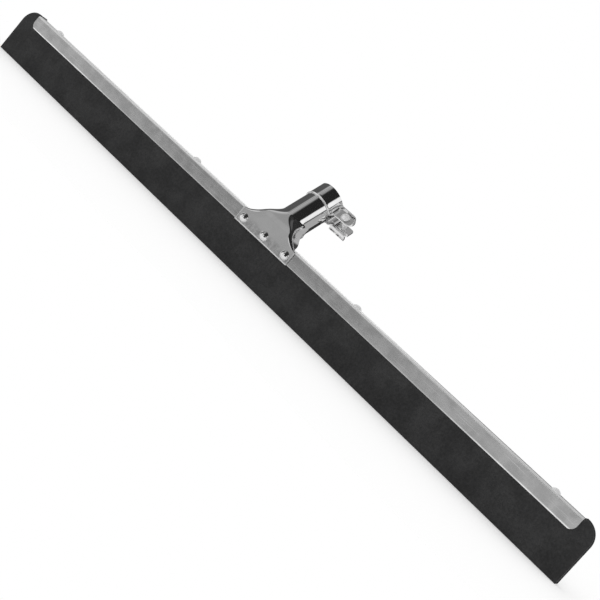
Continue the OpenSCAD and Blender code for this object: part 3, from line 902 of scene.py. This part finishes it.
def make_clamp_strap():
    """The strap round the tube's mouth, with a pan lug in front and a square one behind."""
    low, high = tube_span("clamp_band")
    bolt_spot = Vector(joints["bolt_turn"]["pos_m"])
    bolt_along = tube_place(bolt_spot)[1]
    front_face = tube_span("bolt_washer")[1][1] + FACE_GAP
    rear_face = tube_span("nut_washer")[0][1] - FACE_GAP
    rear_low = tube_span("nut_washer")[0][2] - FACE_GAP - LUG_T
    sizes = {
        "line": (front_face + LUG_T / 2 - TUBE_R, rear_face - LUG_T / 2 - TUBE_R, high[0] - RIM_FOLD,
                 bolt_spot.x + REAR_LUG_END, TUBE_R + BAND_GAP + STRAP_T / 2),
        "alongs": (low[2], high[2], bolt_along, FRONT_FLOOR_HALF, rear_low, rear_low + REAR_LUG_W),
        "front_face": front_face,
        "front_inner": front_face + LUG_T,
    }
    points, faces = [], []
    add_strap_band(points, faces, sizes)
    add_front_rim(points, faces, sizes)
    add_nut_guide(points, faces, sizes)
    piece = new_piece("clamp_strap", points, faces, "chrome_sheet", "head", "clamp_band", weld=0.005 * MM)
    # The rolled lower edge gets the pale copy of the plating, a painted highlight line round the strap.
    piece.data.materials.append(pale_roll_highlight)
    for face in piece.data.polygons:
        back, along = tube_place(face.center)
        if along < low[2] + BEAD_W and math.hypot(face.center.x, back - TUBE_R) < TUBE_R + 1.6 * MM:
            face.material_index = 1
    soften_edges(piece, 0.16 * MM, angle=50.0)


# Rubber lips

def lip_profile(thick, top):
    """A lip's section at one place along the blade, with rounded corners, from its lower front edge."""
    far, high = thick - LIP_EDGE_R, top - LIP_EDGE_R
    heights = [LIP_EDGE_R + (top - 2 * LIP_EDGE_R) * (i / 20) for i in range(1, 20)]
    middles = ((2, LIP_EDGE_R, LIP_EDGE_R), (3, far, LIP_EDGE_R), (0, far, high), (1, LIP_EDGE_R, high))
    corners = []
    for quarter, y, z in middles:
        angles = [math.pi / 2 * (quarter + step / 4) for step in range(5)]
        corners.append([(y + LIP_EDGE_R * math.cos(a), z + LIP_EDGE_R * math.sin(a)) for a in angles])
    back = [(thick, height) for height in heights]
    front = [(0.0, height) for height in reversed(heights)]
    return corners[0] + corners[1] + back + corners[2] + corners[3] + front


def make_lip(name, node):
    """A cellular rubber strip with soft edges, a slightly wavy face and rounded top corners."""
    low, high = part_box(node)
    half, thick = high.x, high.y - low.y
    seat_half = frame_high.x + 0.3 * MM
    outer = -1.0 if low.y < 0.0 else 1.0
    ends = [half - LIP_EAR_R * (1 - math.sin(math.pi / 2 * i / 14)) for i in range(15)]
    inner = [seat_half * i / 60 for i in range(61)]
    xs = sorted({round(x, 7) for x in inner + [seat_half + 0.05 * MM] + ends if x <= half})
    xs = [-x for x in reversed(xs) if x > 0] + xs
    points = []
    for x in xs:
        if abs(x) <= seat_half:
            top = frame_high.z - LIP_SEAT
        else:
            past = max(0.0, abs(x) - (half - LIP_EAR_R))
            top = high.z - LIP_EAR_R + math.sqrt(max(0.0, LIP_EAR_R ** 2 - past ** 2))
        profile = lip_profile(thick, top)
        for y, z in profile:
            free = ease(frame_low.z, 0.0, z) if z < frame_low.z else 0.0
            sway = LIP_SWAY * noise.noise(Vector((x * 14, outer * 3.0, z * 6))) * free
            points.append(Vector((x, low.y + y + sway, z)))
    faces = sweep_faces(len(xs), len(profile), 0)
    piece = new_piece(name, points, faces, "foam_rubber", "head", node, weld=0.001 * MM)
    soften_edges(piece, 0.45 * MM, segments=3, angle=60.0)


# Clamp bolt

def make_clamp_bolt():
    """A slotted dome-headed bolt with a rolled thread."""
    joint = joints["bolt_turn"]
    axis = -Vector(joint["axis"])
    spot = Vector(joint["pos_m"])
    across = Vector((1, 0, 0))
    up = axis.cross(across)
    corners = [Vector(v.co) for v in nodes["clamp_bolt"].data.vertices]
    reaches = [(corner - spot).dot(axis) for corner in corners]
    tail = max(reaches)
    top = min(reaches)
    head_r = max(math.hypot((c - spot).dot(across), (c - spot).dot(up)) for c in corners)
    seat = top + BOLT_HEAD_H
    under = seat + 0.01 * MM
    thread_from = min((v.co - spot).dot(axis) for v in nodes["nut_washer"].data.vertices) - THREAD_LEAD
    ball = (head_r ** 2 + BOLT_HEAD_H ** 2) / (2 * BOLT_HEAD_H)
    wide, around = 17, 32
    points, faces = [], []

    def place(x, y, along):
        return spot + across * x + up * y + axis * along

    def head_line(y, sunk):
        """Points across the head at one distance from its middle, on the dome or down in the slot."""
        reach = math.sqrt(max(0.0, head_r ** 2 - y * y))
        line = []
        for column in range(wide):
            x = reach * (2.0 * column / (wide - 1) - 1.0)
            along = top + ball - math.sqrt(max(0.0, ball ** 2 - x * x - y * y))
            if sunk:
                along = max(along, top + SLOT_DEEP)
            line.append(place(x, y, min(along, seat)))
        return line

    def ring_place(i, radius, along):
        angle = 2 * math.pi * i / around
        return place(radius * math.cos(angle), radius * math.sin(angle), along)

    strips = [(-head_r, -SLOT_HALF, False), (-SLOT_HALF, SLOT_HALF, True), (SLOT_HALF, head_r, False)]
    for y_from, y_to, sunk in strips:
        rows = 3 if sunk else 12
        start = len(points)
        for row in range(rows):
            points += head_line(y_from + (y_to - y_from) * row / (rows - 1), sunk)
        faces += grid_faces(rows, wide, start)
    for y in (-SLOT_HALF, SLOT_HALF):
        start = len(points)
        points += head_line(y, False) + head_line(y, True)
        faces += grid_faces(2, wide, start)
    start = len(points)
    rims = [(head_r, seat), (head_r * 0.995, under), (BOLT_R, under)]
    for radius, along in rims:
        points += [ring_place(i, radius, along) for i in range(around)]
    faces += grid_faces(len(rims), around, start, round_columns=True)
    start = len(points)
    steps = int((tail - seat) / (THREAD_PITCH / 8))
    for row in range(steps + 1):
        along = under + (tail - under) * row / steps
        point_cut = 0.5 * MM * ease(tail - 0.9 * MM, tail, along)
        shown = THREAD_DEEP * ease(thread_from, thread_from + 1.5 * MM, along)
        for i in range(around):
            phase = (along / THREAD_PITCH - i / around) % 1.0
            cut = shown * max(0.0, 1.0 - min(1.0, abs(phase * 2.0 - 1.0) * 1.35))
            points.append(ring_place(i, BOLT_R - cut - point_cut, along))
    faces += grid_faces(steps + 1, around, start, round_columns=True)
    end = start + steps * around
    faces.append(tuple(end + i for i in range(around)))
    piece = new_piece("slotted_bolt", points, faces, "bright_fasteners", "bolt", "clamp_bolt",
                      weld=0.01 * MM)
    piece.data.materials[0] = white_zinc
    soften_edges(piece, 0.08 * MM, angle=50.0)


# Studio

# Each card's brightness, left and right edge in degrees round from the front, lower and upper edge in
# degrees up, and softness. A later card covers an earlier one.
STUDIO_CARDS = [
    (0.02, -138.0, 144.0, 20.0, 120.0, 5.0),
    (0.04, -400.0, 400.0, 72.0, 120.0, 5.0),
    (0.10, -138.0, -70.0, -20.0, 120.0, 4.0),
    (0.60, -160.0, -68.0, 46.0, 60.0, 4.0),
    (1.00, -70.0, -38.0, -40.0, 24.0, 3.0),
    (0.50, -66.0, -54.0, 20.0, 57.0, 4.0),
    (0.42, -54.0, -22.0, 22.0, 60.0, 3.0),
    (0.40, -37.0, -22.0, -40.0, 30.0, 3.0),
    (0.74, -21.0, -13.0, -40.0, 8.0, 3.0),
    (1.00, -13.0, 1.0, -40.0, 8.0, 3.0),
    (0.02, 3.0, 50.0, -40.0, 90.0, 3.0),
    (1.00, 50.0, 62.0, -40.0, 20.0, 3.0),
    (0.48, 62.0, 124.0, -40.0, 24.0, 3.0),
    (0.48, 106.0, 148.0, -10.0, 28.0, 3.0),
    (0.48, 148.0, 400.0, -20.0, 60.0, 3.0),
    (0.48, -400.0, -164.0, -20.0, 60.0, 3.0),
    (0.03, 118.0, 400.0, 46.0, 120.0, 5.0),
    (0.03, -400.0, -166.0, 52.0, 120.0, 5.0),
    (0.03, -170.0, -138.0, 64.0, 120.0, 4.0),
    (0.05, -177.0, -159.0, 8.0, 34.0, 3.0),
    (0.04, 149.0, 400.0, -40.0, 1.0, 3.0),
    (0.04, 160.0, 400.0, -40.0, 15.0, 4.0),
    (0.04, -400.0, -162.0, -40.0, 15.0, 4.0),
    (1.10, 74.0, 104.0, 29.0, 46.0, 2.0),
]


def grey_of(tree, value):
    """A grey colour node from a spread value."""
    colour = add(tree, "ShaderNodeCombineColor")
    for channel in ("Red", "Green", "Blue"):
        link(tree, value, "Result", colour, channel)
    return colour


def make_world():
    """White behind the object, a soft room that lights it, and light and dark cards that metal shows."""
    world = bpy.data.worlds.new("studio")
    bpy.context.scene.world = world
    world.use_nodes = True
    tree = world.node_tree
    tree.nodes.clear()
    out = add(tree, "ShaderNodeOutputWorld")
    path = add(tree, "ShaderNodeLightPath")
    coords = add(tree, "ShaderNodeTexCoord")
    split = add(tree, "ShaderNodeSeparateXYZ")
    link(tree, coords, "Generated", split, "Vector")
    ahead = maths(tree, "MULTIPLY", (split, "Y"), -1.0)
    turn = maths(tree, "ARCTAN2", (split, "X"), (ahead, "Value"))
    bearing = maths(tree, "DEGREES", (turn, "Value"))
    lift = maths(tree, "ARCSINE", (split, "Z"))
    height = maths(tree, "DEGREES", (lift, "Value"))

    def card(colour, level, left, right, low, high, soft):
        """Lays a soft-edged card over the studio, given in degrees round from the front and up."""
        edges = [
            spread(tree, (bearing, "Value"), left - soft, left + soft),
            spread(tree, (bearing, "Value"), right - soft, right + soft, 1.0, 0.0),
            spread(tree, (height, "Value"), low - soft, low + soft),
            spread(tree, (height, "Value"), high - soft, high + soft, 1.0, 0.0),
        ]
        mask = maths(tree, "MULTIPLY", (edges[0], "Result"), (edges[1], "Result"))
        for edge in edges[2:]:
            mask = maths(tree, "MULTIPLY", (mask, "Value"), (edge, "Result"))
        return mix_colours(tree, (mask, "Value"), colour, grey(level))

    base = spread(tree, (height, "Value"), -8.0, -3.0, 0.12, 1.0)
    studio = (grey_of(tree, base), "Color")
    for values in STUDIO_CARDS:
        studio = (card(studio, *values), 2)
    seen = add(tree, "ShaderNodeBackground")
    tree.links.new(studio[0].outputs[studio[1]], seen.inputs["Color"])
    white = add(tree, "ShaderNodeBackground")
    white.inputs["Color"].default_value = (1.0, 1.0, 1.0, 1.0)
    room = add(tree, "ShaderNodeBackground")
    dome = spread(tree, (height, "Value"), -20.0, 80.0, 0.95, 0.7)
    link(tree, grey_of(tree, dome), "Color", room, "Color")
    lit = add(tree, "ShaderNodeMixShader")
    link(tree, path, "Is Glossy Ray", lit, "Fac")
    tree.links.new(room.outputs["Background"], lit.inputs[1])
    tree.links.new(seen.outputs["Background"], lit.inputs[2])
    direct = maths(tree, "MAXIMUM", (path, "Is Camera Ray"), (path, "Is Transmission Ray"))
    shown = add(tree, "ShaderNodeMixShader")
    link(tree, direct, "Value", shown, "Fac")
    tree.links.new(lit.outputs["Shader"], shown.inputs[1])
    tree.links.new(white.outputs["Background"], shown.inputs[2])
    link(tree, shown, "Shader", out, "Surface")


def make_floor():
    """A pale floor that shows white and keeps the object's shadow."""
    mesh = bpy.data.meshes.new("floor")
    side, front, back, level = 0.62, -0.26, 0.3, -0.2 * MM
    corners = [(x, y, level) for x, y in ((-side, front), (side, front), (side, back), (-side, back))]
    mesh.from_pydata(corners, [], [(0, 1, 2, 3)])
    floor = bpy.data.objects.new("floor", mesh)
    bpy.context.scene.collection.objects.link(floor)
    material, tree, shader = new_material("floor_white")
    shader.inputs["Base Color"].default_value = (0.9, 0.9, 0.9, 1.0)
    shader.inputs["Roughness"].default_value = 1.0
    shader.inputs["Specular IOR Level"].default_value = 0.0
    shader.inputs["Emission Color"].default_value = (1.0, 1.0, 1.0, 1.0)
    path = add(tree, "ShaderNodeLightPath")
    shown = maths(tree, "MAXIMUM", (path, "Is Camera Ray"), (path, "Is Glossy Ray"))
    glow = maths(tree, "MULTIPLY", (shown, "Value"), 0.3)
    link(tree, glow, "Value", shader, "Emission Strength")
    mesh.materials.append(material)


make_camera()
make_world()
make_floor()
for part in record["subparts"]:
    mesh = nodes[part["node"]].data
    mesh.materials.clear()
    mesh.materials.append(FINISHES[part["material_slot"]])
nodes["top_rivets"].data.materials[0] = white_zinc
make_socket_pressing()
make_clamp_strap()
make_lip("front_rubber", "front_lip")
make_lip("rear_rubber", "rear_lip")
make_clamp_bolt()
for name in ("clamp_nut", "bolt_washer", "nut_washer", "rivet_washers"):
    soften_edges(nodes[name], 0.2 * MM)

bpy.context.scene.view_settings.view_transform = "Standard"
